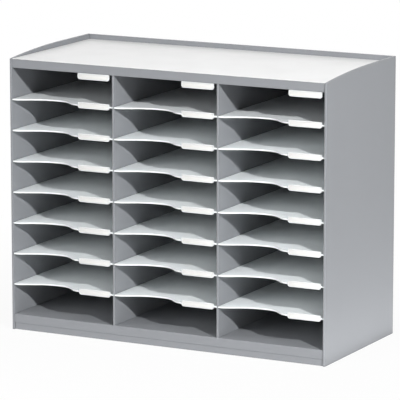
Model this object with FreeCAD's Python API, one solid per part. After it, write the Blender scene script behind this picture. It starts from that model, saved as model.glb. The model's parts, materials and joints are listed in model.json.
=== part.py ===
"""Pigeonhole mail sorter: a grey moulded housing with three columns of eight compartments.

White shelves slide into grooves from the front, and each carries a clip-on label holder.
Lengths are in millimetres. X runs along the width, the front faces -Y and +Z is up. The origin
is the middle of the housing's footprint, on the surface that it stands on.
"""

import FreeCAD
import Part
import math
import os

Vector = FreeCAD.Vector

# Housing: outer sizes
overall_width = 723.0
overall_depth = 331.0
top_height = 572.0           # top surface above the floor
rim_rise = 11.0              # rim above the top surface
rim_arc_run = 215.0          # depth over which the side rims rise from the front
column_names = ("left", "middle", "right")
compartment_rows = 8

# Housing: walls
side_thickness = 5.0
divider_thickness = 4.5
back_thickness = 3.0
plate_thickness = 3.0        # horizontal web of the top and base panels
flange_thickness = 3.0
flange_height = 19.0         # rail seen from the front, web included
plinth_height = 14.0
plinth_thickness = 3.0
plinth_tongue_height = 12.0  # part of the plinth that stands behind the base panel's flange

# Housing: joints between the panels
plate_tongue = 2.0           # how far the webs reach into the side panels
plate_tongue_height = 1.5    # lower part of the web that reaches in
divider_tongue = 1.0         # how far a divider reaches into the webs
rebate_width = 2.5           # step in the side panels that holds the back panel
joint_clearance = 0.1
rail_setback = 2.2           # rails behind the side panels' front edges
divider_setback = 0.3        # dividers' front edges behind the rails
plinth_setback = 1.5         # front plinth behind the base panel's rail
rail_end_gap = 0.3           # open joint between a rail's end and the side panel
top_lip = 0.8                # top panel's edge above the shadow groove in its rail
shadow_groove_height = 0.6
shadow_groove_depth = 1.0

# Edge rounding
side_outer_radius = 2.4
side_inner_radius = 1.0
rim_edge_radius = 1.0
rail_edge_radius = 0.8
lip_edge_radius = 0.3
divider_edge_radius = 0.8

# Shelves
shelf_thickness = 3.0
shelf_setback = 2.2          # shelf's front edge behind the housing's front
shelf_rear_gap = 0.5
shelf_corner_radius = 1.5
shelf_edge_radius = 0.7
groove_depth = 1.4
shelf_side_clearance = 0.3
shelf_height_clearance = 0.15
shelf_top_clearance = 0.6    # room over a shelf in its groove

# Finger notch in a shelf's front edge, from the column's left wall
notch_start = 10.0
notch_left_run = 53.0        # length of the gentle left flank
notch_right_run = 29.5       # length of the steep right flank
notch_to_label = 13.5        # from the notch's right end to the label holder
notch_depth = 27.5
notch_start_radius = 25.0
notch_left_radius = 105.0
notch_right_radius = 45.0
notch_end_radius = 27.0

# Label holders and their cards
label_width = 73.0
label_height = 12.5
label_margin = 5.5           # from the column's right wall
label_drop = 4.2             # below the shelf's underside
label_corner_radius = 4.5
label_top_radius = 1.2
holder_back = 1.0            # plate behind the card
holder_lip = 0.6             # frame in front of the card
holder_border = 1.0          # frame outside the card's pocket
holder_overlap = 0.9         # frame over the card's edge
card_thickness = 0.3
card_clearance = 0.15
jaw_thickness = 1.0
jaw_depth = 7.0
hanger_height = 10.0         # strip behind the top rail
hanger_thickness = 1.0

# Screws that hold the back panel
screws_per_flange = 4
screw_end_distance = 61.5    # from the housing's side to the first screw
screw_shank_radius = 1.45
screw_head_radius = 2.8
screw_tip_length = 0.3       # tip stays this far inside the flange
screw_hole_clearance = 0.2
screw_thread_clearance = 0.02
recess_length = 3.4
recess_width = 0.7
recess_depth = 0.9

# Worked out from the sizes above
front = -overall_depth / 2
rail_front = front + rail_setback
rail_back = rail_front + flange_thickness
divider_front = rail_front + divider_setback
back = overall_depth / 2
right = overall_width / 2
left = -right
overall_height = top_height + rim_rise
inner_left = left + side_thickness
inner_right = right - side_thickness
inner_back = back - back_thickness
floor_top = plinth_height + flange_height
rail_bottom = top_height - flange_height
shelf_pitch = (rail_bottom - floor_top) / compartment_rows
divider_count = len(column_names) - 1
divider_total = divider_count * divider_thickness
column_width = (inner_right - inner_left - divider_total) / len(column_names)
column_step = column_width + divider_thickness
shelf_front = front + shelf_setback
card_gap = card_thickness + card_clearance
holder_thickness = holder_back + card_gap + holder_lip


def box(x_range, y_range, z_range):
    """Block between the given limits."""
    corner = Vector(x_range[0], y_range[0], z_range[0])
    return Part.makeBox(x_range[1] - x_range[0], y_range[1] - y_range[0],
                        z_range[1] - z_range[0], corner)


def trim_lengths(points, radii):
    """How far each corner's arc reaches along its two sides, shared where a side is short."""
    count = len(points)
    trims = []
    for index, radius in enumerate(radii):
        before = points[index - 1] - points[index]
        after = points[(index + 1) % count] - points[index]
        trims.append(radius / math.tan(before.getAngle(after) / 2))
    for index in range(count):
        following = (index + 1) % count
        side = (points[following] - points[index]).Length
        taken = trims[index] + trims[following]
        if taken > side:
            trims[index] *= side / taken
            trims[following] *= side / taken
    return trims


def rounded_wire(corners, place):
    """Closed wire through (u, v, radius) corners, with a tangent arc at each corner."""
    points = [Vector(u, v, 0) for u, v, radius in corners]
    trims = trim_lengths(points, [radius for u, v, radius in corners])
    count = len(points)
    starts, middles, ends = [], [], []
    for index, point in enumerate(points):
        before = (points[index - 1] - point).normalize()
        after = (points[(index + 1) % count] - point).normalize()
        half_angle = before.getAngle(after) / 2
        radius = trims[index] * math.tan(half_angle)
        bisector = (before + after).normalize()
        starts.append(point + before * trims[index])
        middles.append(point + bisector * (radius / math.sin(half_angle) - radius))
        ends.append(point + after * trims[index])
    edges = []
    for index in range(count):
        following = (index + 1) % count
        if trims[index] > 0:
            arc = [place(p) for p in (starts[index], middles[index], ends[index])]
            edges.append(Part.Arc(*arc).toShape())
        if not ends[index].isEqual(starts[following], 1e-6):
            edges.append(Part.LineSegment(place(ends[index]), place(starts[following])).toShape())
    return Part.Wire(edges)


def flat_prism(corners, z_range):
    """Rounded outline in plan, extruded upwards."""
    wire = rounded_wire(corners, lambda p: Vector(p.x, p.y, z_range[0]))
    return Part.Face(wire).extrude(Vector(0, 0, z_range[1] - z_range[0]))


def upright_prism(corners, y_range):
    """Rounded outline seen from the front, extruded backwards."""
    wire = rounded_wire(corners, lambda p: Vector(p.x, y_range[0], p.y))
    return Part.Face(wire).extrude(Vector(0, y_range[1] - y_range[0], 0))


def edges_where(shape, test):
    """Edges whose end points all pass the test."""
    return [edge for edge in shape.Edges if all(test(v.Point) for v in edge.Vertexes)]


def near(value, target):
    return abs(value - target) < 1e-4


def shelf_tops():
    """Heights of the shelves' upper faces, from the top shelf down."""
    return [floor_top + shelf_pitch * row for row in range(compartment_rows - 1, 0, -1)]


def column_left(column):
    """Face of the wall on the left of a column."""
    return inner_left + column * column_step


def cut_grooves(panel, x_range):
    """Shelf grooves in one face of a panel, open at the front."""
    for shelf_top in shelf_tops():
        low = shelf_top - shelf_thickness - shelf_height_clearance
        high = shelf_top + shelf_top_clearance
        panel = panel.cut(box(x_range, (front, inner_back), (low, high)))
    return panel


def side_panel(side):
    """Full-height side wall; side is -1 for the left one and 1 for the right one."""
    outer = side * right
    inner = side * inner_right
    arc_radius = (rim_arc_run ** 2 + rim_rise ** 2) / (2 * rim_rise)
    arc_middle = rim_arc_run / 2
    middle_drop = arc_radius - math.sqrt(arc_radius ** 2 - (rim_arc_run - arc_middle) ** 2)
    rim_start = Vector(outer, front, top_height)
    rim_middle = Vector(outer, front + arc_middle, overall_height - middle_drop)
    rim_end = Vector(outer, front + rim_arc_run, overall_height)
    bottom_front = Vector(outer, front, 0)
    bottom_back = Vector(outer, back, 0)
    top_back = Vector(outer, back, overall_height)
    edges = [
        Part.LineSegment(bottom_front, rim_start).toShape(),
        Part.Arc(rim_start, rim_middle, rim_end).toShape(),
        Part.LineSegment(rim_end, top_back).toShape(),
        Part.LineSegment(top_back, bottom_back).toShape(),
        Part.LineSegment(bottom_back, bottom_front).toShape(),
    ]
    panel = Part.Face(Part.Wire(edges)).extrude(Vector(inner - outer, 0, 0))
    for x, radius in ((outer, side_outer_radius), (inner, side_inner_radius)):
        upright = edges_where(panel, lambda p: near(p.x, x) and near(p.y, front))
        panel = panel.makeFillet(radius, upright)
    rim_edges = edges_where(panel, lambda p: near(p.x, outer) and p.z > top_height + rim_rise / 2)
    panel = panel.makeFillet(rim_edge_radius, rim_edges)

    groove_limits = sorted((inner, inner + side * groove_depth))
    panel = cut_grooves(panel, groove_limits)
    tongue_limits = sorted((inner, inner + side * plate_tongue))
    for web_top in (top_height, floor_top):
        slot_bottom = web_top - plate_thickness
        slot = (slot_bottom, slot_bottom + plate_tongue_height + joint_clearance)
        panel = panel.cut(box(tongue_limits, (rail_back, inner_back), slot))
    rebate_limits = sorted((inner, outer - side * rebate_width))
    return panel.cut(box(rebate_limits, (inner_back, back), (0, overall_height)))


def divider(number):
    """Upright partition to the right of column number."""
    x = column_left(number) + column_width
    limits = (x, x + divider_thickness)
    low = floor_top - divider_tongue
    high = top_height - plate_thickness + divider_tongue - joint_clearance
    panel = box(limits, (divider_front, inner_back), (low, high))
    front_edges = edges_where(panel, lambda p: near(p.y, divider_front))
    upright = [edge for edge in front_edges if edge.Length > high - low - 1]
    panel = panel.makeFillet(divider_edge_radius, upright)
    rear_flange_front = inner_back - flange_thickness
    for y_range in ((front, rail_back + joint_clearance),
                    (rear_flange_front - joint_clearance, inner_back)):
        panel = panel.cut(box(limits, y_range, (rail_bottom, high)))
    panel = cut_grooves(panel, (limits[0], limits[0] + groove_depth))
    return cut_grooves(panel, (limits[1] - groove_depth, limits[1]))


def open_end_joints(piece, y_range, z_range):
    """Cuts the two ends of a strip back from the side panels."""
    for inner, side in ((inner_left, 1), (inner_right, -1)):
        x_range = sorted((inner, inner + side * rail_end_gap))
        piece = piece.cut(box(x_range, y_range, z_range))
    return piece


def channel_panel(web_top, edge_radius):
    """Web with a flange turned down at the front and at the back, as in the top and the base."""
    web_bottom = web_top - plate_thickness
    flange_bottom = web_top - flange_height
    inside = (inner_left, inner_right)
    panel = box(inside, (rail_front, inner_back), (web_bottom, web_top))
    panel = panel.fuse(box(inside, (rail_front, rail_back), (flange_bottom, web_top)))
    rear_flange = (inner_back - flange_thickness, inner_back)
    panel = panel.fuse(box(inside, rear_flange, (flange_bottom, web_top))).removeSplitter()
    for z, radius in ((web_top, edge_radius), (flange_bottom, rail_edge_radius)):
        front_edges = edges_where(panel, lambda p: near(p.y, rail_front) and near(p.z, z))
        panel = panel.makeFillet(radius, front_edges)
    panel = open_end_joints(panel, (rail_front, rail_back), (flange_bottom, web_top))
    tongue = box((inner_left - plate_tongue, inner_right + plate_tongue),
                 (rail_back, inner_back),
                 (web_bottom, web_bottom + plate_tongue_height))
    panel = panel.fuse(tongue).removeSplitter()
    for hole in screw_tools(screw_shank_radius + screw_thread_clearance, web_top):
        panel = panel.cut(hole)
    return panel


def divider_grooves(panel, z_range):
    """Grooves in a web for the dividers' tongues."""
    for number in range(divider_count):
        x = column_left(number) + column_width
        panel = panel.cut(box((x, x + divider_thickness), (divider_front, inner_back), z_range))
    return panel


def top_panel():
    web_bottom = top_height - plate_thickness
    panel = channel_panel(top_height, lip_edge_radius)
    groove_top = top_height - top_lip
    panel = panel.cut(box((left, right), (rail_front, rail_front + shadow_groove_depth),
                          (groove_top - shadow_groove_height, groove_top)))
    seat = box((inner_left, inner_right), (rail_back, inner_back - flange_thickness),
               (web_bottom, web_bottom + divider_tongue))
    slots = divider_grooves(seat, (web_bottom, web_bottom + divider_tongue))
    return panel.cut(seat.cut(slots))


def base_panel():
    panel = channel_panel(floor_top, rail_edge_radius)
    return divider_grooves(panel, (floor_top - divider_tongue, floor_top))


def plinth(side):
    """Strip under the base panel's flange; side is 1 at the front and -1 at the back."""
    flange_face = rail_front if side > 0 else inner_back
    face = flange_face + plinth_setback if side > 0 else flange_face
    flange_back = flange_face + side * flange_thickness
    strip_limits = sorted((face, face + side * plinth_thickness))
    tongue_limits = sorted((flange_back, flange_back + side * plinth_thickness))
    inside = (inner_left, inner_right)
    strip = box(inside, strip_limits, (0, plinth_height))
    bridge = box(inside, sorted((face, flange_back)), (0, plinth_height))
    tongue = box(inside, tongue_limits, (0, plinth_height + plinth_tongue_height))
    strip = strip.fuse(bridge).fuse(tongue).removeSplitter()
    lower_edge = edges_where(strip, lambda p: near(p.y, face) and near(p.z, 0))
    strip = strip.makeFillet(rail_edge_radius, lower_edge)
    return open_end_joints(strip, strip_limits, (0, plinth_height))


def screw_places(web_top):
    """Points on the back panel's rear face where the screws of one flange go in."""
    z = web_top - (flange_height + plate_thickness) / 2
    span = overall_width - 2 * screw_end_distance
    step = span / (screws_per_flange - 1)
    return [Vector(left + screw_end_distance + step * number, back, z)
            for number in range(screws_per_flange)]


def screw_tools(radius, web_top):
    """Cylinders along one flange's screws, through the back panel and the flange."""
    reach = back_thickness + flange_thickness
    return [Part.makeCylinder(radius, reach, place, Vector(0, -1, 0))
            for place in screw_places(web_top)]


def countersink(place, shank_radius, head_radius):
    return Part.makeCone(head_radius, shank_radius, head_radius - shank_radius, place,
                         Vector(0, -1, 0))


def back_panel():
    panel = box((left + rebate_width, right - rebate_width), (inner_back, back),
                (0, overall_height))
    rim_edges = edges_where(panel, lambda p: near(p.z, overall_height) and near(p.y, back))
    panel = panel.makeFillet(rim_edge_radius, rim_edges)
    hole_radius = screw_shank_radius + screw_hole_clearance
    head_radius = screw_head_radius + screw_hole_clearance
    for web_top in (top_height, floor_top):
        for hole in screw_tools(hole_radius, web_top):
            panel = panel.cut(hole)
        for place in screw_places(web_top):
            panel = panel.cut(countersink(place, hole_radius, head_radius))
    return panel


def back_screw(place):
    """Countersunk screw with a cross recess, its head flush with the back panel."""
    length = back_thickness + flange_thickness - screw_tip_length
    shank = Part.makeCylinder(screw_shank_radius, length, place, Vector(0, -1, 0))
    screw = shank.fuse(countersink(place, screw_shank_radius, screw_head_radius))
    half_length = recess_length / 2
    half_width = recess_width / 2
    depth_limits = (place.y - recess_depth, place.y)
    across = box((place.x - half_length, place.x + half_length), depth_limits,
                 (place.z - half_width, place.z + half_width))
    upright = box((place.x - half_width, place.x + half_width), depth_limits,
                  (place.z - half_length, place.z + half_length))
    return screw.cut(across).cut(upright).removeSplitter()


def back_panel_screws():
    places = screw_places(top_height) + screw_places(floor_top)
    return Part.Compound([back_screw(place) for place in places])


def label_left(column):
    return column_left(column) + column_width - label_margin - label_width


def shelf(column, shelf_top):
    """Removable shelf whose ends run in the grooves, with a finger notch at the front."""
    wall_left = column_left(column)
    reach = groove_depth - shelf_side_clearance
    low_x = wall_left - reach
    high_x = wall_left + column_width + reach
    rear = inner_back - shelf_rear_gap
    notch_end = label_left(column) - notch_to_label
    outline = [
        (low_x, shelf_front, shelf_corner_radius),
        (wall_left + notch_start, shelf_front, notch_start_radius),
        (wall_left + notch_start + notch_left_run, shelf_front + notch_depth, notch_left_radius),
        (notch_end - notch_right_run, shelf_front + notch_depth, notch_right_radius),
        (notch_end, shelf_front, notch_end_radius),
        (high_x, shelf_front, shelf_corner_radius),
        (high_x, rear, shelf_corner_radius),
        (low_x, rear, shelf_corner_radius),
    ]
    board = flat_prism(outline, (shelf_top - shelf_thickness, shelf_top))
    notch_back = shelf_front + notch_depth
    front_edges = [edge for edge in edges_where(board, lambda p: p.y < notch_back + 1)
                   if near(edge.BoundBox.ZLength, 0)]
    return board.makeFillet(shelf_edge_radius, front_edges)


def label_outline(low_x, low_z, inset):
    """Outline of the label holder, drawn in from its edge by inset, with round lower corners."""
    high_x = low_x + label_width - inset
    high_z = low_z + label_height - inset
    lower = max(label_corner_radius - inset, card_clearance)
    upper = max(label_top_radius - inset, card_clearance)
    return [
        (low_x + inset, low_z + inset, lower),
        (high_x, low_z + inset, lower),
        (high_x, high_z, upper),
        (low_x + inset, high_z, upper),
    ]


def label_frame(low_x, low_z, back_y):
    """Frame that holds a label card, and the card in it; back_y is the frame's rear face."""
    face = back_y - holder_thickness
    lip_back = face + holder_lip
    plate_front = back_y - holder_back
    frame = upright_prism(label_outline(low_x, low_z, 0), (face, back_y))
    pocket = upright_prism(label_outline(low_x, low_z, holder_border), (lip_back, plate_front))
    window_inset = holder_border + holder_overlap
    window = upright_prism(label_outline(low_x, low_z, window_inset), (face, lip_back))
    card_outline = label_outline(low_x, low_z, holder_border + card_clearance)
    card = upright_prism(card_outline, (plate_front - card_thickness, plate_front))
    return frame.cut(pocket).cut(window), card


def shelf_label(column, shelf_top):
    """Label holder whose two jaws grip a shelf's front edge."""
    low_x = label_left(column)
    underside = shelf_top - shelf_thickness
    frame, card = label_frame(low_x, underside - label_drop, shelf_front)
    jaw_x = (low_x + label_corner_radius, low_x + label_width - label_corner_radius)
    jaw_y = (shelf_front, shelf_front + jaw_depth)
    for jaw_z in ((shelf_top, shelf_top + jaw_thickness), (underside - jaw_thickness, underside)):
        frame = frame.fuse(box(jaw_x, jaw_y, jaw_z))
    return Part.Compound([frame.removeSplitter(), card])


def top_label(column):
    """Label holder of the top compartment, hung from a strip behind the top rail."""
    low_x = label_left(column)
    frame, card = label_frame(low_x, rail_bottom - label_height, shelf_front)
    strip_x = (low_x + label_corner_radius, low_x + label_width - label_corner_radius)
    foot_z = (rail_bottom - hanger_thickness, rail_bottom)
    foot = box(strip_x, (shelf_front - holder_back, rail_back + hanger_thickness), foot_z)
    strip = box(strip_x, (rail_back, rail_back + hanger_thickness),
                (foot_z[0], rail_bottom + hanger_height))
    return Part.Compound([frame.fuse(foot).fuse(strip).removeSplitter(), card])


def build_nodes():
    """Every piece of the sorter by its node name."""
    nodes = {
        "side_panel_left": side_panel(-1),
        "side_panel_right": side_panel(1),
        "divider_left": divider(0),
        "divider_right": divider(1),
        "top_panel": top_panel(),
        "base_panel": base_panel(),
        "plinth_front": plinth(1),
        "plinth_rear": plinth(-1),
        "back_panel": back_panel(),
        "back_panel_screws": back_panel_screws(),
    }
    for column, name in enumerate(column_names):
        nodes[f"label_holder_{name}_top"] = top_label(column)
        for number, shelf_top in enumerate(shelf_tops(), start=1):
            nodes[f"shelf_{name}_{number}"] = shelf(column, shelf_top)
            nodes[f"label_holder_{name}_{number}"] = shelf_label(column, shelf_top)
    return nodes


os.makedirs("parts", exist_ok=True)
for node_name, node_shape in build_nodes().items():
    node_shape.exportStep(f"parts/{node_name}.step")
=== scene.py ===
"""Dresses a three-column mail sorter: finishes for its housing, shelves and screws, modelled label
holders with their cards, and a plain studio around it. Lengths are in metres."""

import json
import math

import bmesh
import bpy
from bpy.props import FloatProperty, FloatVectorProperty, IntProperty, PointerProperty
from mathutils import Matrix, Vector


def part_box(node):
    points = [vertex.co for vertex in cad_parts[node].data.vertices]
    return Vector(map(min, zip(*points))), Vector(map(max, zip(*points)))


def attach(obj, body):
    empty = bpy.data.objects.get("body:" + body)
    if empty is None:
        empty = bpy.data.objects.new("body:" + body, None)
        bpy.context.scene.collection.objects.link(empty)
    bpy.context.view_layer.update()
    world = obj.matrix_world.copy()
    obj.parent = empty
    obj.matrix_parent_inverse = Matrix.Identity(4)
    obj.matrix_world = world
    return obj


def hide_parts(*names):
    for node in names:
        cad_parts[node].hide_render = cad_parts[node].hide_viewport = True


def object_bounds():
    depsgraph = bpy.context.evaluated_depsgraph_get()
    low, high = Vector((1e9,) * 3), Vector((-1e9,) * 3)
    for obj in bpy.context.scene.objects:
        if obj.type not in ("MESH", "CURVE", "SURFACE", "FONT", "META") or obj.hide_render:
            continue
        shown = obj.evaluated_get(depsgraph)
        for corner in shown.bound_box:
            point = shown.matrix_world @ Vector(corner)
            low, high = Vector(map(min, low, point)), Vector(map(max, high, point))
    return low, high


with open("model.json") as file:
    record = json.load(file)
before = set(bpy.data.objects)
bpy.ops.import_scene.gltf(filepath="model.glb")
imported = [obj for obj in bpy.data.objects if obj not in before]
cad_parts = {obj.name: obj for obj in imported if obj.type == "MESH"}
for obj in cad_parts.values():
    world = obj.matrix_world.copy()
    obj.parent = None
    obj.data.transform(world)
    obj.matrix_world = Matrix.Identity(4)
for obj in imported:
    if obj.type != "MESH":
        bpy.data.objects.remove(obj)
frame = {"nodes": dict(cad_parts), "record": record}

bl_info = {
    "name": "Mail sorter",
    "version": (1, 0, 0),
    "blender": (4, 5, 0),
    "location": "3D View > Sidebar > Mail sorter",
    "description": "Finishes, label holders and studio for a three-column mail sorter",
    "category": "Object",
}

CAD_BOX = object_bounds()
X, Y, Z = 0, 1, 2
TOUCH = 1e-6    # points closer than this are in the same place
SMOOTH_ANGLE = math.radians(32)    # faces that meet at less than this are shaded as one
EDGE_STEPS = 2    # segments of a small rounded edge

# Sockets of a Mix node that mixes colours; it has others of the same names
MIX_FACTOR, MIX_PLAIN, MIX_CHANGED = 0, 6, 7
MIX_RESULT = 2


# Sizes and colours that a user would change

class HolderSizes(bpy.types.PropertyGroup):
    """Walls and roundings of the label holders. Their outer sizes come from the frame."""
    lower_radius: FloatProperty(name="Lower corners", description="Radius of the two lower corners",
                                default=0.0045, min=0, unit="LENGTH")
    upper_radius: FloatProperty(name="Upper corners", description="Radius of the two upper corners",
                                default=0.0012, min=0, unit="LENGTH")
    plate: FloatProperty(name="Back plate", description="Thickness of the plate behind the card",
                         default=0.001, min=0, unit="LENGTH")
    lip: FloatProperty(name="Lip", description="Thickness of the frame in front of the card",
                       default=0.0006, min=0, unit="LENGTH")
    border: FloatProperty(name="Border", description="Frame outside the card's pocket",
                          default=0.001, min=0, unit="LENGTH")
    overlap: FloatProperty(name="Overlap", description="Frame over the card's edge",
                           default=0.0009, min=0, unit="LENGTH")
    jaw: FloatProperty(name="Jaw", description="Thickness of the jaws and of the hanging strip",
                       default=0.001, min=0, unit="LENGTH")
    rounding: FloatProperty(name="Edge rounding", description="Radius of the moulded edges",
                            default=0.00025, min=0, unit="LENGTH")
    card: FloatProperty(name="Card", description="Thickness of the label card",
                        default=0.0003, min=0, unit="LENGTH")
    card_play: FloatProperty(name="Card play", description="Room around the card in its pocket",
                             default=0.00015, min=0, unit="LENGTH")
    least_radius: FloatProperty(name="Least radius", description="Smallest radius of inner corners",
                                default=0.00015, min=0, unit="LENGTH")
    corner_steps: IntProperty(name="Corner steps", description="Segments of a rounded corner",
                              default=8, min=1)


class FinishSizes(bpy.types.PropertyGroup):
    """How far the finishes of the top panel and of the shelves reach."""
    # Depth from the top down in which the top panel is coloured pale
    pale_top_depth: FloatProperty(name="Face sheet", description="Thickness of the top's white face",
                              default=0.0008, min=0, unit="LENGTH")
    handled: FloatProperty(name="Handled", description="How far back hands reach onto the shelves",
                           default=0.03, min=0, unit="LENGTH")


class SorterColours(bpy.types.PropertyGroup):
    """Base colours of the finishes."""
    housing: FloatVectorProperty(name="Housing", description="Light grey moulded plastic",
                                 default=(0.250, 0.259, 0.275), subtype="COLOR", min=0, max=1)
    # Pale colour of the top panel's upper face
    face: FloatVectorProperty(name="Top face", description="White face sheet of the top panel",
                              default=(0.87, 0.87, 0.87), subtype="COLOR", min=0, max=1)
    shelf: FloatVectorProperty(name="Shelf", description="White sheet plastic of the shelves",
                               default=(0.885, 0.918, 0.928), subtype="COLOR", min=0, max=1)
    holder: FloatVectorProperty(name="Holder", description="White plastic of the label holders",
                                default=(0.72, 0.74, 0.745), subtype="COLOR", min=0, max=1)
    card: FloatVectorProperty(name="Card", description="Blank paper of the label cards",
                              default=(0.73, 0.73, 0.71), subtype="COLOR", min=0, max=1)
    screw: FloatVectorProperty(name="Screw", description="Zinc plating of the screws",
                               default=(0.62, 0.62, 0.63), subtype="COLOR", min=0, max=1)
    floor: FloatVectorProperty(name="Floor", description="Pale studio floor",
                               default=(0.80, 0.80, 0.80), subtype="COLOR", min=0, max=1)


class StudioSettings(bpy.types.PropertyGroup):
    """Camera, lamps and floor."""
    lens: FloatProperty(name="Lens", description="Focal length on a 36 mm sensor",
                        default=294.1, min=1)
    camera_place: FloatVectorProperty(name="Camera", description="Where the camera stands",
                                      default=(3.0594, -5.9033, 1.5566), subtype="TRANSLATION")
    camera_turn: FloatProperty(name="Turn", description="Camera's turn to the left of +Y",
                               default=math.radians(27.431), subtype="ANGLE")
    camera_tilt: FloatProperty(name="Tilt", description="Camera's tilt below the horizon",
                               default=math.radians(10.879), subtype="ANGLE")
    key_place: FloatVectorProperty(name="Key lamp", description="Where the key lamp hangs",
                                   default=(3.47, -2.57, 2.43), subtype="TRANSLATION")
    key_size: FloatProperty(name="Key size", description="Width of the key lamp",
                            default=0.16, min=0, unit="LENGTH")
    key_power: FloatProperty(name="Key power", description="Power of the key lamp",
                             default=218.0, min=0, unit="POWER")
    top_place: FloatVectorProperty(name="Top light", description="Middle of the overhead light",
                                   default=(0.3, -0.8, 3.4), subtype="TRANSLATION")
    top_size: FloatProperty(name="Top size", description="Width of the overhead light",
                            default=1.2, min=0, unit="LENGTH")
    top_power: FloatProperty(name="Top power", description="Power of the overhead light",
                             default=18.0, min=0, unit="POWER")
    back_place: FloatVectorProperty(name="Back light", description="Middle of the back light",
                                    default=(-1.6, 3.2, 1.5), subtype="TRANSLATION")
    back_size: FloatProperty(name="Back size", description="Width of the soft back light",
                             default=2.4, min=0, unit="LENGTH")
    back_power: FloatProperty(name="Back power", description="Power of the soft back light",
                              default=26.0, min=0, unit="POWER")
    fill_place: FloatVectorProperty(name="Fill light", description="Middle of the soft fill light",
                                    default=(-1.6, -4.2, 2.0), subtype="TRANSLATION")
    fill_size: FloatProperty(name="Fill size", description="Width of the soft fill light",
                             default=2.4, min=0, unit="LENGTH")
    fill_power: FloatProperty(name="Fill power", description="Power of the soft fill light",
                              default=68.0, min=0, unit="POWER")
    front_place: FloatVectorProperty(name="Front light", description="Middle of the front light",
                                     default=(2.6, -5.2, 1.5), subtype="TRANSLATION")
    front_size: FloatProperty(name="Front size", description="Width of the soft front light",
                              default=0.9, min=0, unit="LENGTH")
    front_power: FloatProperty(name="Front power", description="Power of the soft front light",
                               default=23.0, min=0, unit="POWER")
    rear_place: FloatVectorProperty(name="Rear light", description="Middle of the low rear light",
                                    default=(-0.8, 3.6, 0.45), subtype="TRANSLATION")
    rear_size: FloatProperty(name="Rear size", description="Width of the low rear light",
                             default=0.6, min=0, unit="LENGTH")
    rear_power: FloatProperty(name="Rear power", description="Power of the low rear light",
                              default=55.0, min=0, unit="POWER")
    surround: FloatProperty(name="Surround", description="Brightness of the light from all round",
                            default=0.02, min=0)
    # Painted light: glow of the floor near the sorter, in place of light that it throws back
    pool: FloatProperty(name="Light pool", description="Extra light thrown by the floor nearby",
                        default=0.45, min=0)
    # Painted light: extra glow of the floor at the sorter's right
    side_pool: FloatProperty(name="Side pool", description="What the floor at the right adds to it",
                             default=1.7, min=0)
    pool_reach: FloatProperty(name="Pool reach", description="How far the light pool reaches",
                              default=0.45, min=0.01, unit="LENGTH")
    floor_size: FloatProperty(name="Floor size", description="Side of the square floor",
                              default=60.0, min=1, unit="LENGTH")
    floor_white: FloatProperty(name="Floor white", description="How nearly white the floor beside "
                               "the sorter is seen; farther out it is plain white",
                               default=0.93, min=0, max=1, subtype="FACTOR")
    shadow_reach: FloatProperty(name="Shadow reach", description="How far the floor shows shadow",
                                default=0.7, min=0.01, unit="LENGTH")


# Shading

class Shade:
    """A value or colour in a shader tree. Arithmetic on it adds Math nodes."""

    def __init__(self, tree, socket=None):
        self.tree = tree
        self.socket = socket

    def node(self, kind, output=0, settings=None, inputs=None):
        """Adds a node, sets it up, then fills or links its inputs, and returns an output."""
        made = self.tree.nodes.new(kind)
        for name, value in (settings or {}).items():
            setattr(made, name, value)
        for name, value in (inputs or {}).items():
            if isinstance(value, Shade):
                self.tree.links.new(value.socket, made.inputs[name])
            else:
                made.inputs[name].default_value = value
        return Shade(self.tree, made.outputs[output] if made.outputs else None)

    def math(self, operation, first, second=0.0):
        """Adds a Math node."""
        return self.node("ShaderNodeMath", settings={"operation": operation},
                         inputs={0: first, 1: second})

    def __add__(self, other):
        return self.math("ADD", self, other)

    def __sub__(self, other):
        return self.math("SUBTRACT", self, other)

    def __rsub__(self, other):
        return self.math("SUBTRACT", other, self)

    def __mul__(self, other):
        return self.math("MULTIPLY", self, other)

    __radd__ = __add__
    __rmul__ = __mul__


def opaque(colour, brightness=1.0):
    """Colour with an alpha of 1, made darker or lighter."""
    return (*(min(part * brightness, 1.0) for part in colour), 1.0)


def blend_colour(mask, plain, changed):
    """The plain colour where the mask is 0 and the changed one where it is 1."""
    return mask.node("ShaderNodeMix", output=MIX_RESULT, settings={"data_type": "RGBA"},
                     inputs={MIX_FACTOR: mask, MIX_PLAIN: plain, MIX_CHANGED: changed})


def step_between(value, low, high):
    """0 below low, 1 above high and a smooth step between them."""
    return value.node("ShaderNodeMapRange", settings={"interpolation_type": "SMOOTHSTEP"},
                      inputs={"Value": value, "From Min": low, "From Max": high})


def noise(place, scale, detail=2.0, stretch=(1, 1, 1), turn=(0, 0, 0)):
    """Soft noise from 0 to 1; stretch multiplies the scale along each axis."""
    mapped = place.node("ShaderNodeMapping", inputs={
        "Vector": place, "Rotation": turn, "Scale": stretch})
    return place.node("ShaderNodeTexNoise", inputs={
        "Vector": mapped, "Scale": scale, "Detail": detail})


def edge_marks(place, radius):
    """Masks of the outer edges and of the inner corners, as (edges, corners); the corners mask is
    ambient occlusion, used to paint shade.
    """
    rounded = place.node("ShaderNodeBevel", inputs={"Radius": radius})
    flat = place.node("ShaderNodeNewGeometry", output="Normal")
    likeness = place.node("ShaderNodeVectorMath", output="Value",
                          settings={"operation": "DOT_PRODUCT"}, inputs={0: rounded, 1: flat})
    open_air = place.node("ShaderNodeAmbientOcclusion", output="AO", settings={"samples": 8},
                          inputs={"Distance": 4 * radius})
    # An outer edge is where the rounded surface turns away from the flat one in the open
    turned = step_between(1 - likeness, 0.02, 0.25)
    is_open = step_between(open_air, 0.70, 0.95)
    return turned * is_open, 1 - step_between(open_air, 0.35, 0.85)


def facing_up(place):
    """1 on surfaces that face up and 0 on upright ones."""
    normal = place.node("ShaderNodeNewGeometry", output="Normal")
    height = place.node("ShaderNodeSeparateXYZ", output="Z", inputs={"Vector": normal})
    return step_between(height, 0.6, 0.95)


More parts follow.
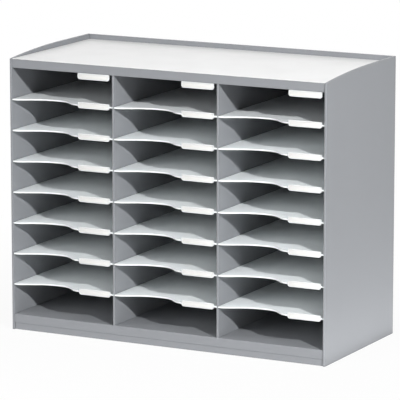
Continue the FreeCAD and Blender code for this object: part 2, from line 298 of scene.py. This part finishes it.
def grained_normal(place, heights, depth, edge_radius):
    """Surface direction with a fine relief, and with sharp edges eased."""
    eased = place.node("ShaderNodeBevel", inputs={"Radius": edge_radius})
    return place.node("ShaderNodeBump", inputs={
        "Strength": 1.0, "Distance": depth, "Height": heights, "Normal": eased})


def start_material(name):
    """An empty material, and the Object coordinates in it."""
    material = bpy.data.materials.new(name)
    material.use_nodes = True
    material.node_tree.nodes.clear()
    place = Shade(material.node_tree).node("ShaderNodeTexCoord", output="Object")
    return material, place


def surface(place, colour, roughness, normal, **constants):
    """Ends a material with a Principled BSDF. Constants are values for more of its sockets,
    whose names have _ for a space."""
    inputs = {"Base Color": colour, "Roughness": roughness, "Normal": normal}
    inputs.update((name.replace("_", " "), value) for name, value in constants.items())
    shader = place.node("ShaderNodeBsdfPrincipled", inputs=inputs)
    place.node("ShaderNodeOutputMaterial", inputs={"Surface": shader})


def housing_plastic(name, colour, face=None, face_foot=0.0):
    """Grey moulded plastic: clouded pigment, spark-eroded grain, paler outer edges (partly rubbing,
    partly a painted highlight), some dust, and painted shade in inner corners.
    With a face colour, it is that colour from the height face_foot upwards."""
    material, place = start_material(name)
    clouds = noise(place, scale=7.0, detail=3)
    flow = noise(place, scale=30.0, stretch=(1, 1, 0.15))
    grain = noise(place, scale=1500.0, detail=1)
    edges, corners = edge_marks(place, radius=0.0012)
    rubbed_and_highlit = edges * step_between(noise(place, scale=60.0), 0.35, 0.65)
    dust = facing_up(place) * step_between(noise(place, scale=18.0, detail=4), 0.40, 0.75)

    shade = step_between(clouds * 0.7 + flow * 0.3, 0.25, 0.75)
    base = blend_colour(shade, opaque(colour, 0.99), opaque(colour, 1.01))
    base = blend_colour(step_between(grain, 0.3, 0.7) * 0.25, base, opaque(colour, 0.90))
    # Painted highlight, partly rubbing: outer edges made much paler in patches
    base = blend_colour(rubbed_and_highlit * 0.80, base, opaque(colour, 1.70))
    roughness = 0.42 + clouds * 0.03 + grain * 0.06 + dust * 0.04 - rubbed_and_highlit * 0.06
    # The top panel is coloured pale from face_foot upwards
    if face is not None:
        sheet = blend_colour(shade, opaque(face, 0.985), opaque(face, 1.015))
        height = place.node("ShaderNodeSeparateXYZ", output="Z", inputs={"Vector": place})
        seam = 0.0001    # height in which the grey turns into the sheet's colour
        base = blend_colour(step_between(height, face_foot, face_foot + seam), base, sheet)
    # Painted shade: inner corners darkened
    base = blend_colour(corners * 0.40, base, opaque(colour, 0.50))
    base = blend_colour(dust * 0.03, base, opaque((0.55, 0.54, 0.52)))
    normal = grained_normal(place, grain, depth=0.00003, edge_radius=0.0004)
    surface(place, base, roughness, normal, IOR=1.59, Specular_IOR_Level=0.20)
    return material


def shelf_plastic(colour, front, handled_reach):
    """White sheet plastic: faint sliding scuffs from front to back, and smudges near the front,
    as far back as hands reach."""
    material, place = start_material("shelf_plastic")
    clouds = noise(place, scale=9.0, detail=3)
    grain = noise(place, scale=1900.0, detail=1)
    streaks = noise(place, scale=1.0, detail=3, stretch=(260, 7, 260))
    patches = step_between(noise(place, scale=14.0), 0.42, 0.62)
    scuffs = facing_up(place) * patches * step_between(streaks, 0.58, 0.72)
    edges, corners = edge_marks(place, radius=0.0006)
    depth = place.node("ShaderNodeSeparateXYZ", output="Y", inputs={"Vector": place}) - front
    handled = 1 - step_between(depth, 0.2 * handled_reach, 1.4 * handled_reach)
    smudges = handled * step_between(noise(place, scale=45.0, detail=3), 0.48, 0.68)

    base = blend_colour(clouds, opaque(colour, 0.985), opaque(colour, 1.01))
    base = blend_colour(scuffs * 0.16, base, opaque(colour, 0.80))
    base = blend_colour(smudges * 0.05, base, opaque((0.62, 0.60, 0.56)))
    # Painted shade: inner corners a little darker
    base = blend_colour(corners * 0.10, base, opaque(colour, 0.70))
    roughness = 0.42 + clouds * 0.08 + scuffs * 0.12 - smudges * 0.08 - edges * 0.05
    normal = grained_normal(place, grain * 0.8 + streaks * 0.2, depth=0.00002, edge_radius=0.0003)
    surface(place, base, roughness, normal, IOR=1.59)
    return material


def holder_plastic(colour):
    """Glossy white injection-moulded plastic with faint sink marks."""
    material, place = start_material("holder_plastic")
    sinks = noise(place, scale=90.0, detail=1)
    grain = noise(place, scale=2600.0, detail=1)
    edges, corners = edge_marks(place, radius=0.0004)
    base = blend_colour(sinks, opaque(colour, 0.98), opaque(colour, 1.01))
    # Painted shade: inner corners darker
    base = blend_colour(corners * 0.18, base, opaque(colour, 0.62))
    roughness = 0.24 + sinks * 0.06 + grain * 0.04 + edges * 0.04
    normal = grained_normal(place, sinks * 0.7 + grain * 0.3, depth=0.00002, edge_radius=0.0002)
    surface(place, base, roughness, normal, IOR=1.52)
    return material


def card_paper(colour):
    """Uncoated card: crossing fibres and a matt tooth."""
    material, place = start_material("card_paper")
    along = noise(place, scale=1.0, detail=3, stretch=(500, 900, 2600), turn=(0, 0.4, 0))
    across = noise(place, scale=1.0, detail=3, stretch=(2600, 900, 500), turn=(0, 0.3, 0))
    fibres = along * 0.5 + across * 0.5
    mottle = noise(place, scale=160.0, detail=2)
    base = blend_colour(step_between(fibres, 0.35, 0.65), opaque(colour, 0.95), opaque(colour, 1.03))
    base = blend_colour(mottle * 0.2, base, opaque(colour, 0.93))
    roughness = 0.82 + fibres * 0.12
    normal = grained_normal(place, fibres, depth=0.00003, edge_radius=0.0001)
    surface(place, base, roughness, normal)
    return material


def screw_steel(colour):
    """Zinc-plated steel: bright with cloudy plating, lighter outer edges and painted shade in its
    recesses.
    """
    material, place = start_material("screw_steel")
    plating = noise(place, scale=420.0, detail=3)
    turning = noise(place, scale=1.0, detail=1, stretch=(300, 9000, 300))
    edges, corners = edge_marks(place, radius=0.0003)
    base = blend_colour(step_between(plating, 0.35, 0.65), opaque(colour, 0.88), opaque(colour, 1.08))
    # Painted shade: recesses much darker
    base = blend_colour(corners * 0.6, base, opaque(colour, 0.30))
    base = blend_colour(edges * 0.4, base, opaque(colour, 1.30))
    roughness = 0.26 + plating * 0.16 + turning * 0.06
    normal = grained_normal(place, plating * 0.5 + turning * 0.5, depth=0.00002, edge_radius=0.00015)
    surface(place, base, roughness, normal, Metallic=1.0)
    return material


def plain_view(start):
    """1 for the rays that show the surroundings: camera, mirror and see-through rays."""
    views = [start.node("ShaderNodeLightPath", output=name)
             for name in ("Is Camera Ray", "Is Glossy Ray", "Is Transmission Ray")]
    return start.math("MAXIMUM", start.math("MAXIMUM", views[0], views[1]), views[2])


def floor_paint(colour, studio):
    """Matt pale floor: seen mostly as plain white, with a light shadow. Near the sorter, most of all
    at its right, it glows for the rays that light the sorter: a painted light pool standing in for
    the light that a floor throws back."""
    material, place = start_material("floor_paint")
    rolled = noise(place, scale=3.0, detail=2)
    base = blend_colour(rolled, opaque(colour, 0.99), opaque(colour, 1.01))
    paint = place.node("ShaderNodeBsdfDiffuse", inputs={"Color": base})
    across, along = (place.node("ShaderNodeSeparateXYZ", output=axis, inputs={"Vector": place})
                     for axis in ("X", "Y"))
    half_width, half_depth, _ = CAD_BOX[1]
    beyond = place.math("MAXIMUM", place.math("ABSOLUTE", across) - half_width,
                        place.math("ABSOLUTE", along) - half_depth)
    near = 1 - step_between(beyond, 0.0, studio.pool_reach)
    at_right = step_between(across - half_width, 0.0, studio.pool_reach / 10)
    # Painted light pool: the floor glows near the sorter, most of all at its right
    pool = place.node("ShaderNodeEmission", inputs={
        "Strength": near * (studio.pool + at_right * studio.side_pool)})
    bright = place.node("ShaderNodeAddShader", inputs={0: paint, 1: pool})
    shadowed = 1 - step_between(beyond, 0.0, studio.shadow_reach)
    shown = plain_view(place)
    white = place.node("ShaderNodeEmission", inputs={"Strength": 1.0})
    # Rays that light the sorter meet the paint plus the painted glow
    thrown = place.node("ShaderNodeMixShader", inputs={"Fac": shown, 1: bright, 2: paint})
    seen = place.node("ShaderNodeMixShader", inputs={
        "Fac": shown * (1 - shadowed * (1 - studio.floor_white)), 1: thrown, 2: white})
    place.node("ShaderNodeOutputMaterial", inputs={"Surface": seen})
    return material


# Modelling

def select_only(*objects):
    """Leaves just these objects selected, the first one active."""
    bpy.ops.object.select_all(action="DESELECT")
    for item in objects:
        item.select_set(True)
    bpy.context.view_layer.objects.active = objects[0]


def lies_at(element, axis, place):
    """True if the whole edge or face lies at that place along the axis."""
    return all(abs(corner.co[axis] - place) < TOUCH for corner in element.verts)


def runs_along(edge, axis):
    """True if the edge is parallel to the axis."""
    start, end = (corner.co for corner in edge.verts)
    return all(abs(start[other] - end[other]) < TOUCH for other in (X, Y, Z) if other != axis)


def middle_of(element):
    """Mean place of the corners of an edge or face."""
    return sum((corner.co for corner in element.verts), Vector()) / len(element.verts)


def pick(item, kind, test):
    """In edit mode, selects only the edges or faces of the item that pass the test."""
    bpy.ops.mesh.select_mode(type=kind)
    bpy.ops.mesh.select_all(action="DESELECT")
    mesh = bmesh.from_edit_mesh(item.data)
    for element in mesh.edges if kind == "EDGE" else mesh.faces:
        if test(element):
            element.select_set(True)
    bmesh.update_edit_mesh(item.data)


def rounded_plate(name, low, high, lower_radius, upper_radius, steps):
    """Upright plate between two corners, with its corners rounded as seen from the front."""
    bpy.ops.object.select_all(action="DESELECT")
    bpy.ops.mesh.primitive_cube_add(size=1, location=(low + high) / 2, scale=high - low)
    plate = bpy.context.object
    plate.name = plate.data.name = name
    bpy.ops.object.transform_apply(location=True, rotation=True, scale=True)
    waist = (low.z + high.z) / 2
    bpy.ops.object.mode_set(mode="EDIT")
    for radius, is_upper in ((lower_radius, False), (upper_radius, True)):
        pick(plate, "EDGE",
             lambda edge: runs_along(edge, Y) and (middle_of(edge).z > waist) == is_upper)
        bpy.ops.mesh.bevel(offset=radius, segments=steps, affect="EDGES")
    bpy.ops.object.mode_set(mode="OBJECT")
    return plate


def inset_plate(name, low, high, sizes, inset):
    """Plate with the holder's outline drawn in by inset; low and high are the holder's corners."""
    edge = Vector((inset, 0, inset))
    return rounded_plate(name, low + edge, high - edge,
                         max(sizes.lower_radius - inset, sizes.least_radius),
                         max(sizes.upper_radius - inset, sizes.least_radius), sizes.corner_steps)


def cut_away(piece, cutter):
    """Takes the cutter's shape out of the piece and deletes the cutter."""
    select_only(piece)
    cut = piece.modifiers.new("cut", "BOOLEAN")
    cut.object = cutter
    bpy.ops.object.modifier_apply(modifier=cut.name)
    bpy.data.objects.remove(cutter)


def pull_strip(item, axis, face_place, limits, reach):
    """Extrudes a rectangle of the flat face at face_place; limits are (axis, low, high)."""
    for side, low, high in limits:
        for place in (low, high):
            pick(item, "FACE", lambda face: lies_at(face, axis, face_place))
            point, direction = Vector(), Vector()
            point[side], direction[side] = place, 1
            bpy.ops.mesh.bisect(plane_co=point, plane_no=direction)
    pick(item, "FACE", lambda face: lies_at(face, axis, face_place) and all(
        low - TOUCH < corner.co[side] < high + TOUCH
        for side, low, high in limits for corner in face.verts))
    step = Vector()
    step[axis] = reach
    bpy.ops.mesh.extrude_region_move(TRANSFORM_OT_translate={"value": step})


def round_edges(item, radius, test):
    """Rounds the edges that pass the test, in edit mode."""
    pick(item, "EDGE", test)
    bpy.ops.mesh.bevel(offset=radius, segments=EDGE_STEPS, affect="EDGES")


def label_frame(name, low, high, sizes, pull_grips):
    """Frame with a window and a card pocket; low and high are the outer corners of its plate, and
    pull_grips draws what holds it out of that plate."""
    holder = rounded_plate(name, low, high, sizes.lower_radius, sizes.upper_radius,
                           sizes.corner_steps)
    bpy.ops.object.mode_set(mode="EDIT")
    pull_grips(holder)
    bpy.ops.object.mode_set(mode="OBJECT")
    lip_back = low.y + sizes.lip
    pocket_back = high.y - sizes.plate
    pocket = inset_plate("pocket", Vector((low.x, lip_back, low.z)),
                         Vector((high.x, pocket_back, high.z)), sizes, sizes.border)
    cut_away(holder, pocket)
    window = inset_plate("window", Vector((low.x, low.y - sizes.lip, low.z)),
                         Vector((high.x, lip_back + TOUCH, high.z)), sizes,
                         sizes.border + sizes.overlap)
    cut_away(holder, window)
    select_only(holder)
    bpy.ops.object.mode_set(mode="EDIT")
    round_edges(holder, sizes.rounding, lambda edge: lies_at(edge, Y, low.y))
    bpy.ops.object.mode_set(mode="OBJECT")
    bpy.ops.object.shade_smooth_by_angle(angle=SMOOTH_ANGLE)
    return holder


def shelf_label_frame(name, node, shelf, sizes):
    """Label holder whose two jaws grip a shelf's front edge."""
    low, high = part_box(node)
    shelf_low, shelf_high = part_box(shelf)
    back = shelf_low.y
    jaw_x = (X, low.x + sizes.lower_radius, high.x - sizes.lower_radius)

    def pull_jaws(holder):
        for jaw_low in (shelf_low.z - sizes.jaw, shelf_high.z):
            pull_strip(holder, Y, back, (jaw_x, (Z, jaw_low, jaw_low + sizes.jaw)), high.y - back)
        round_edges(holder, sizes.rounding, lambda edge: lies_at(edge, Y, high.y))

    return label_frame(name, low, Vector((high.x, back, high.z)), sizes, pull_jaws)


def top_label_frame(name, node, sizes):
    """Label holder hung from a strip behind the top rail."""
    low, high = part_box(node)
    rail_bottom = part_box("top_panel")[0].z
    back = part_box("shelf_left_1")[0].y
    strip_front = high.y - sizes.jaw
    strip_x = (X, low.x + sizes.lower_radius, high.x - sizes.lower_radius)

    def pull_hanger(holder):
        foot_z = (Z, rail_bottom - sizes.jaw, rail_bottom)
        pull_strip(holder, Y, back, (strip_x, foot_z), high.y - back)
        pull_strip(holder, Z, rail_bottom, (strip_x, (Y, strip_front, high.y)),
                   high.z - rail_bottom)
        round_edges(holder, sizes.rounding, lambda edge: lies_at(edge, Z, high.z))

    return label_frame(name, low, Vector((high.x, back, rail_bottom)), sizes, pull_hanger)


def label_card(name, low, high, sizes):
    """Card that lies in the holder's pocket; low and high are the corners of the holder's plate."""
    plate_front = high.y - sizes.plate
    card = inset_plate(name, Vector((low.x, plate_front - sizes.card, low.z)),
                       Vector((high.x, plate_front, high.z)), sizes,
                       sizes.border + sizes.card_play)
    bpy.ops.object.mode_set(mode="EDIT")
    round_edges(card, sizes.card / 5, lambda edge: lies_at(edge, Y, plate_front - sizes.card))
    bpy.ops.object.mode_set(mode="OBJECT")
    bpy.ops.object.shade_smooth_by_angle(angle=SMOOTH_ANGLE)
    return card


def copy_piece(piece, name, shift):
    """Copy of a piece with its own mesh, moved by shift within that mesh."""
    select_only(piece)
    bpy.ops.object.duplicate(linked=False)
    twin = bpy.context.object
    twin.name = twin.data.name = name
    twin.location = shift
    bpy.ops.object.transform_apply(location=True, rotation=False, scale=False)
    return twin


def nodes_of(start):
    """The CAD nodes whose names start with this."""
    return [node for name, node in frame["nodes"].items() if name.startswith(start)]


def finish_nodes(nodes, material):
    """Puts the material on the whole of these CAD nodes."""
    for node in nodes:
        for slot in node.material_slots:
            slot.material = material


def body_under(holder_name):
    """Body that a label holder rides on: its shelf's, or the housing for the top row."""
    for body, members in frame["record"]["behaviour"]["bodies"].items():
        if holder_name in members:
            return body
    raise ValueError(f"{holder_name} is in no body")


def aim(place, target):
    """Turn that makes a lamp at place point at the target."""
    return (Vector(target) - Vector(place)).to_track_quat("-Z", "Y").to_euler()


# Operators

class SORTER_OT_finish_housing(bpy.types.Operator):
    """Gives the panels, dividers and plinths their grey plastic, and the top panel a pale upper face
    """
    bl_idname = "sorter.finish_housing"
    bl_label = "Finish the housing"

    def execute(self, context):
        colours = context.scene.sorter_colours
        plain = housing_plastic("housing_plastic", colours.housing)
        for start in ("side_panel", "divider", "base_panel", "plinth"):
            finish_nodes(nodes_of(start), plain)
        finish_nodes([frame["nodes"]["back_panel"]], plain)
        face_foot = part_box("top_panel")[1].z - context.scene.sorter_finish.pale_top_depth
        faced = housing_plastic("faced_plastic", colours.housing, colours.face, face_foot)
        finish_nodes([frame["nodes"]["top_panel"]], faced)
        return {"FINISHED"}


class SORTER_OT_finish_shelves(bpy.types.Operator):
    """Gives the shelves their white plastic"""
    bl_idname = "sorter.finish_shelves"
    bl_label = "Finish the shelves"

    def execute(self, context):
        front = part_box("shelf_left_1")[0].y
        material = shelf_plastic(context.scene.sorter_colours.shelf, front,
                                 context.scene.sorter_finish.handled)
        finish_nodes(nodes_of("shelf_"), material)
        return {"FINISHED"}


class SORTER_OT_finish_screws(bpy.types.Operator):
    """Gives the back panel's screws their zinc plating"""
    bl_idname = "sorter.finish_screws"
    bl_label = "Finish the screws"

    def execute(self, context):
        material = screw_steel(context.scene.sorter_colours.screw)
        finish_nodes([frame["nodes"]["back_panel_screws"]], material)
        return {"FINISHED"}


class SORTER_OT_add_label_holders(bpy.types.Operator):
    """Models a label holder and its card for every compartment"""
    bl_idname = "sorter.add_label_holders"
    bl_label = "Add the label holders"

    def execute(self, context):
        sizes = context.scene.sorter_holder
        colours = context.scene.sorter_colours
        plastic = holder_plastic(colours.holder)
        paper = card_paper(colours.card)
        firsts = {}    # lowest corner, holder and card of the first of each kind
        pairs = {}
        for node in sorted(name for name in frame["nodes"] if name.startswith("label_holder_")):
            kind = "top" if node.endswith("_top") else "shelf"
            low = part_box(node)[0]
            holder_name = node.replace("label_holder", "holder")
            card_name = node.replace("label_holder", "card")
            if kind in firsts:
                first_low, first_holder, first_card = firsts[kind]
                holder = copy_piece(first_holder, holder_name, low - first_low)
                card = copy_piece(first_card, card_name, low - first_low)
            else:
                holder, card = self.model_pair(kind, node, holder_name, card_name, sizes)
                holder.data.materials.append(plastic)
                card.data.materials.append(paper)
                firsts[kind] = (low, holder, card)
            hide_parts(node)
            pairs[node] = (holder, card)
        # Riding comes last, because a copy of a riding piece would ride on the same body
        for node, pair in pairs.items():
            for piece in pair:
                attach(piece, body_under(node))
        return {"FINISHED"}

    def model_pair(self, kind, node, holder_name, card_name, sizes):
        """The first holder of a kind, and its card."""
        low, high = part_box(node)
        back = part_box("shelf_left_1")[0].y
        if kind == "top":
            holder = top_label_frame(holder_name, node, sizes)
            plate_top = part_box("top_panel")[0].z
        else:
            shelf = node.replace("label_holder", "shelf")
            holder = shelf_label_frame(holder_name, node, shelf, sizes)
            plate_top = high.z
        card = label_card(card_name, low, Vector((high.x, back, plate_top)), sizes)
        return holder, card


class SORTER_OT_set_stage(bpy.types.Operator):
    """Lays the floor, hangs the lamps, sets the surround and places the camera"""
    bl_idname = "sorter.set_stage"
    bl_label = "Set the stage"

    def execute(self, context):
        studio = context.scene.sorter_studio
        self.lay_floor(studio, context.scene.sorter_colours.floor)
        self.set_surround(context.scene, studio.surround)
        for kind, is_mirrored in (("key", False), ("back", True), ("fill", True), ("top", True),
                                  ("front", False), ("rear", False)):
            self.hang_lamp(studio, kind, is_mirrored)
        bpy.ops.object.camera_add(location=studio.camera_place, rotation=(
            math.pi / 2 - studio.camera_tilt, 0, studio.camera_turn))
        camera = context.object
        camera.name = "camera"
        camera.data.lens = studio.lens
        context.scene.camera = camera
        context.scene.view_settings.view_transform = "Standard"
        return {"FINISHED"}

    def lay_floor(self, studio, colour):
        """Lays the floor under the sorter, with its paint."""
        bpy.ops.mesh.primitive_plane_add(size=studio.floor_size)
        floor = bpy.context.object
        floor.name = "floor"
        floor.data.materials.append(floor_paint(colour, studio))

    def hang_lamp(self, studio, kind, is_mirrored):
        """Hangs one of the studio's lamps, which points at the sorter and which the camera
        doesn't see. It shows in glossy surfaces only if it is mirrored."""
        place = getattr(studio, f"{kind}_place")
        middle = (CAD_BOX[0] + CAD_BOX[1]) / 2
        bpy.ops.object.light_add(type="AREA", location=place, rotation=aim(place, middle))
        lamp = bpy.context.object
        lamp.name = f"{kind}_light"
        lamp.data.shape = "DISK" if kind == "key" else "SQUARE"
        lamp.data.size = getattr(studio, f"{kind}_size")
        lamp.data.energy = getattr(studio, f"{kind}_power")
        lamp.visible_camera = False
        lamp.visible_glossy = is_mirrored

    def set_surround(self, scene, brightness):
        """Light from all round at this brightness, seen and mirrored as plain white."""
        world = bpy.data.worlds.new("surround")
        world.use_nodes = True
        world.node_tree.nodes.clear()
        start = Shade(world.node_tree)
        shown = plain_view(start)
        strength = shown + (1 - shown) * brightness
        light = start.node("ShaderNodeBackground", inputs={
            "Color": (1, 1, 1, 1), "Strength": strength})
        start.node("ShaderNodeOutputWorld", inputs={"Surface": light})
        scene.world = world


class SORTER_PT_panel(bpy.types.Panel):
    """Sizes, colours and steps of the mail sorter"""
    bl_idname = "SORTER_PT_panel"
    bl_label = "Mail sorter"
    bl_space_type = "VIEW_3D"
    bl_region_type = "UI"
    bl_category = "Mail sorter"

    def draw(self, context):
        for group_name, group in PROPERTY_GROUPS.items():
            box = self.layout.box()
            for name in group.__annotations__:
                box.prop(getattr(context.scene, group_name), name)
        for operator in OPERATORS:
            self.layout.operator(operator.bl_idname)


PROPERTY_GROUPS = {
    "sorter_holder": HolderSizes,
    "sorter_finish": FinishSizes,
    "sorter_colours": SorterColours,
    "sorter_studio": StudioSettings,
}
OPERATORS = (
    SORTER_OT_finish_housing,
    SORTER_OT_finish_shelves,
    SORTER_OT_finish_screws,
    SORTER_OT_add_label_holders,
    SORTER_OT_set_stage,
)


def register():
    for kind in (*PROPERTY_GROUPS.values(), *OPERATORS, SORTER_PT_panel):
        bpy.utils.register_class(kind)
    for name, group in PROPERTY_GROUPS.items():
        setattr(bpy.types.Scene, name, PointerProperty(type=group))


def unregister():
    for name in PROPERTY_GROUPS:
        delattr(bpy.types.Scene, name)
    for kind in (SORTER_PT_panel, *reversed(OPERATORS), *PROPERTY_GROUPS.values()):
        bpy.utils.unregister_class(kind)


def main():
    register()
    bpy.ops.sorter.finish_housing()
    bpy.ops.sorter.finish_shelves()
    bpy.ops.sorter.finish_screws()
    bpy.ops.sorter.add_label_holders()
    bpy.ops.sorter.set_stage()


if __name__ == "__main__":
    main()
